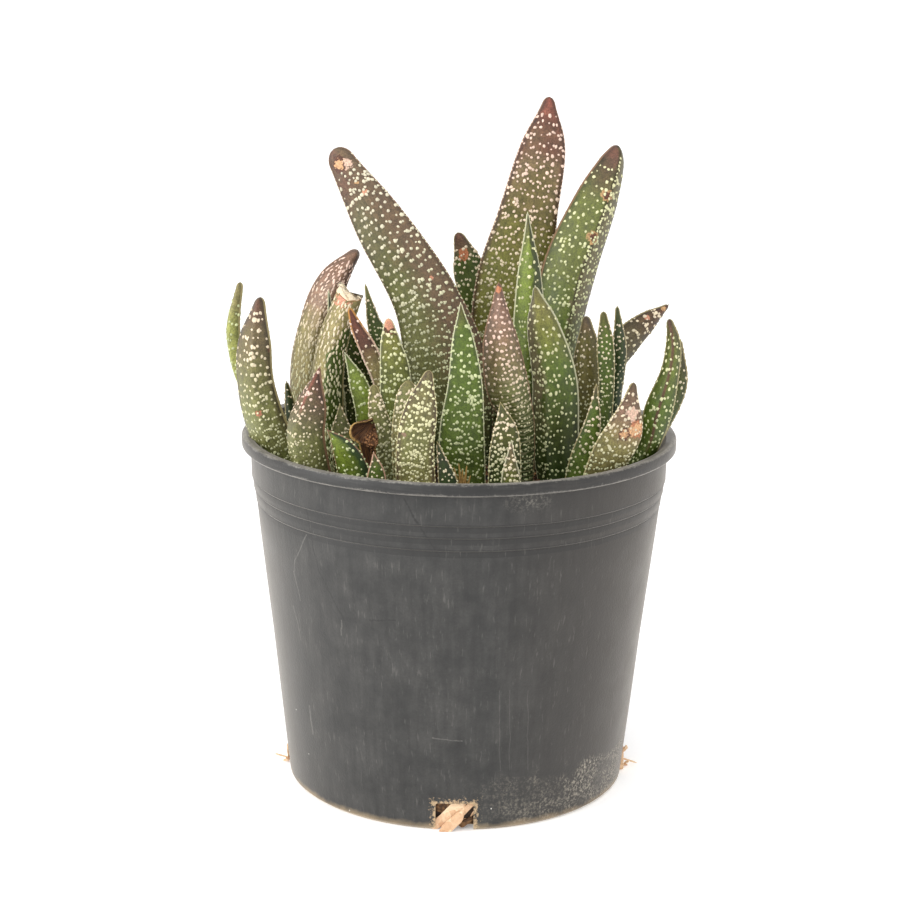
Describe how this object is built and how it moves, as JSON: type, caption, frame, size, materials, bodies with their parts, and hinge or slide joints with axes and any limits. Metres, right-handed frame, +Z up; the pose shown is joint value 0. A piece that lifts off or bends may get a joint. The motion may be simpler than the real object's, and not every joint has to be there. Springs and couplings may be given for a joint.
{
  "type": "potted gasteria succulent",
  "caption": "Clump of gasteria with thick, keeled, tongue-shaped leaves spotted in white, growing from bark mix in a round tapered nursery pot.",
  "frame": {"origin": "middle of the pot's flat underside", "axes": "+Z up the pot's axis towards the leaf tips, -Y the front that shows most leaves, +X to the right seen from the front"},
  "size_m": [0.1803, 0.17, 0.269],
  "materials": {
    "pot_plastic": "satin charcoal plastic, scuffed and lime-stained",
    "bark_mix": "rough bark and soil",
    "root": "pale fleshy root",
    "leaf_green": "fleshy green leaf skin, satin and waxy",
    "leaf_olive": "fleshy olive leaf skin, satin and waxy",
    "leaf_purple": "fleshy leaf skin flushed purple-brown, satin",
    "leaf_dark": "fleshy dark green leaf skin, satin",
    "leaf_pale": "grey-green leaf skin thick with pale spots, satin",
    "leaf_dead": "dried brown leaf, matt"
  },
  "bodies": {
    "root": {"pot": "pot_plastic", "potting_mix": "bark_mix", "rootstock": "root", "leaf_tall_middle": "leaf_olive", "leaf_tall_right": "leaf_green", "leaf_tall_left": "leaf_purple", "leaf_behind_middle": "leaf_dark", "leaf_narrow_green": "leaf_green", "leaf_curved_left": "leaf_purple", "leaf_cut_left": "leaf_pale", "leaf_sliver_left": "leaf_dark", "leaf_far_left": "leaf_olive", "leaf_left_large": "leaf_olive", "leaf_left_bud": "leaf_dark", "leaf_thin_dark": "leaf_dark", "leaf_red_curved": "leaf_purple", "leaf_olive_left": "leaf_olive", "leaf_hidden_left": "leaf_green", "leaf_bright_short": "leaf_green", "leaf_left_front": "leaf_purple", "leaf_short_green": "leaf_green", "leaf_tiny_front": "leaf_green", "leaf_shaded_left": "leaf_pale", "leaf_blunt_grey": "leaf_pale", "leaf_dead_curl": "leaf_dead", "leaf_front_pale": "leaf_pale", "leaf_front_hidden": "leaf_pale", "leaf_front_green": "leaf_green", "leaf_dark_front": "leaf_dark", "leaf_purple_middle": "leaf_purple", "leaf_front_brown": "leaf_olive", "leaf_front_small": "leaf_pale", "leaf_olive_right": "leaf_olive", "leaf_right_bud": "leaf_green", "leaf_right_scarred": "leaf_pale", "leaf_right_behind": "leaf_dark", "leaf_olive_back": "leaf_olive", "leaf_narrow_right": "leaf_green", "leaf_dark_right": "leaf_dark", "leaf_outward_right": "leaf_purple", "leaf_right_curved": "leaf_green", "leaf_right_outer": "leaf_olive", "leaf_back_left_broad": "leaf_green", "leaf_back_left_upright": "leaf_dark", "leaf_back_left_low": "leaf_olive", "leaf_back_left_outer": "leaf_purple", "leaf_inner_left": "leaf_dark", "leaf_inner_low": "leaf_olive", "leaf_inner_right": "leaf_purple", "leaf_inner_small": "leaf_green", "leaf_back_tall": "leaf_green", "leaf_back_middle_left": "leaf_olive", "leaf_back_middle_right": "leaf_dark", "leaf_back_rim": "leaf_purple", "leaf_back_right_upright": "leaf_green", "leaf_back_right_broad": "leaf_olive", "leaf_back_right_low": "leaf_green", "leaf_back_right_inner": "leaf_olive", "leaf_back_right_outer": "leaf_purple"}
  },
  "joints": []
}
